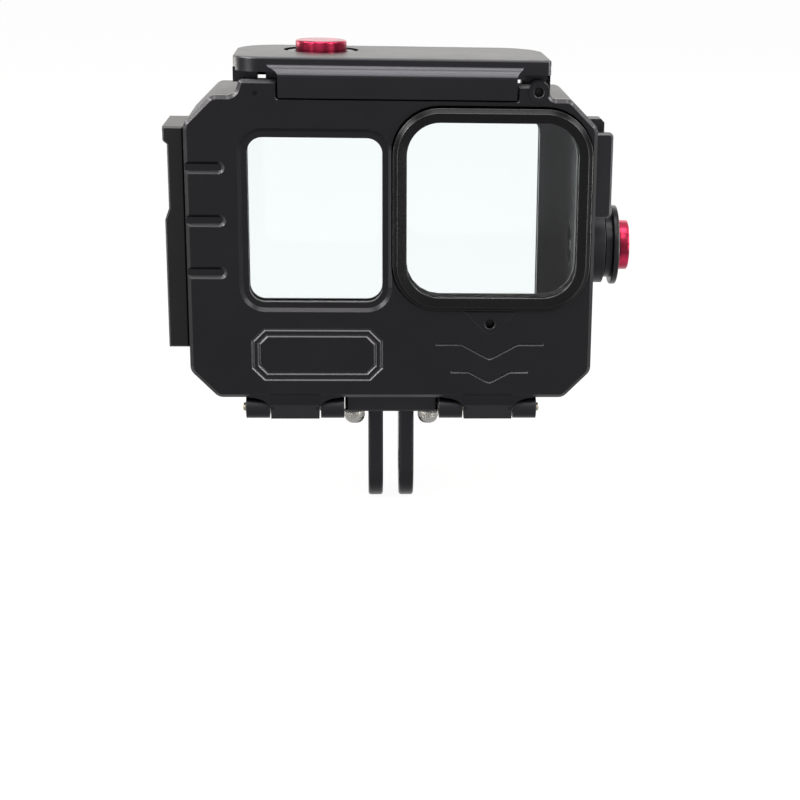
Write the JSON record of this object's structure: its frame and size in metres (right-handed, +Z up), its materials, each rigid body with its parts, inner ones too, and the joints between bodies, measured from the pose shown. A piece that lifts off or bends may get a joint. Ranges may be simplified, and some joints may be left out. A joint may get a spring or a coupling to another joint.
{
  "type": "action camera dive housing",
  "caption": "Waterproof housing for a small camera, with a drop-down windowed front cover, a top latch lid, sprung push buttons and a two-finger pivot mount.",
  "frame": {"origin": "centre of the pivot hole through the two mount fingers", "axes": "+X to the viewer's right along the pivot, -Y out of the front cover, +Z up"},
  "size_m": [0.0922, 0.0394, 0.0934],
  "materials": {
    "shell": "bead-blasted black anodised",
    "cover": "satin black anodised",
    "lid": "satin black anodised",
    "mount": "satin black anodised",
    "frame": "matte black anodised",
    "bushing": "turned black anodised",
    "red": "turned, red anodised",
    "glass": "clear polished",
    "rubber": "moulded",
    "steel": "bright turned",
    "screw": "blackened",
    "knurled": "knurled, bare"
  },
  "bodies": {
    "housing": {"main_shell": "shell", "main_seal": "rubber", "floor_pad": "rubber", "rear_window": "glass", "rear_window_gasket": "rubber", "rear_window_frame": "frame", "rear_frame_screw_1": "screw", "rear_frame_screw_2": "screw", "rear_frame_screw_3": "screw", "rear_frame_screw_4": "screw", "rear_frame_screw_5": "screw", "rear_frame_screw_6": "screw", "rear_frame_screw_7": "screw", "rear_frame_screw_8": "screw", "hinge_pin_left": "steel", "hinge_pin_right": "steel", "lid_pin": "frame", "shutter_bushing": "bushing", "shutter_seal": "rubber", "shutter_spring": "steel", "side_bushing": "bushing", "side_seal": "rubber", "side_spring": "steel", "side_rail": "frame", "side_rail_screw_1": "screw", "side_rail_screw_2": "screw", "mount_foot": "mount", "mount_screw_1": "knurled", "mount_screw_2": "knurled", "mount_screw_3": "knurled", "mount_screw_4": "knurled"},
    "cover": {"front_cover": "cover", "screen_window": "glass", "screen_gasket": "rubber", "screen_retainer": "frame", "screen_retainer_screw_1": "screw", "screen_retainer_screw_2": "screw", "screen_retainer_screw_3": "screw", "screen_retainer_screw_4": "screw", "port_ring": "cover", "port_window": "glass", "port_gasket": "rubber", "filter_insert_1": "steel", "filter_insert_2": "steel"},
    "lid": {"latch_lid": "lid"},
    "shutter_button": {"shutter_cap": "red", "shutter_shaft": "steel", "shutter_clip": "steel"},
    "side_button": {"side_cap": "red", "side_shaft": "steel", "side_clip": "steel"}
  },
  "joints": [
    {"name": "cover_hinge", "type": "hinge", "parent": "housing", "child": "cover", "pos_m": [0, -0.0144, 0.0152], "axis": [1, 0, 0], "range_deg": [0, 100]},
    {"name": "lid_hinge", "type": "hinge", "parent": "housing", "child": "lid", "pos_m": [0, 0.0088, 0.079], "axis": [-1, 0, 0], "range_deg": [0, 90]},
    {"name": "shutter_press", "type": "slide", "parent": "housing", "child": "shutter_button", "axis": [0, 0, -1], "range_m": [0, 0.0015], "stiffness_N_per_m": 1500, "springref_m": -0.002, "deforming": ["shutter_spring"]},
    {"name": "side_press", "type": "slide", "parent": "housing", "child": "side_button", "axis": [-1, 0, 0], "range_m": [0, 0.0015], "stiffness_N_per_m": 1500, "springref_m": -0.002, "deforming": ["side_spring"]}
  ]
}
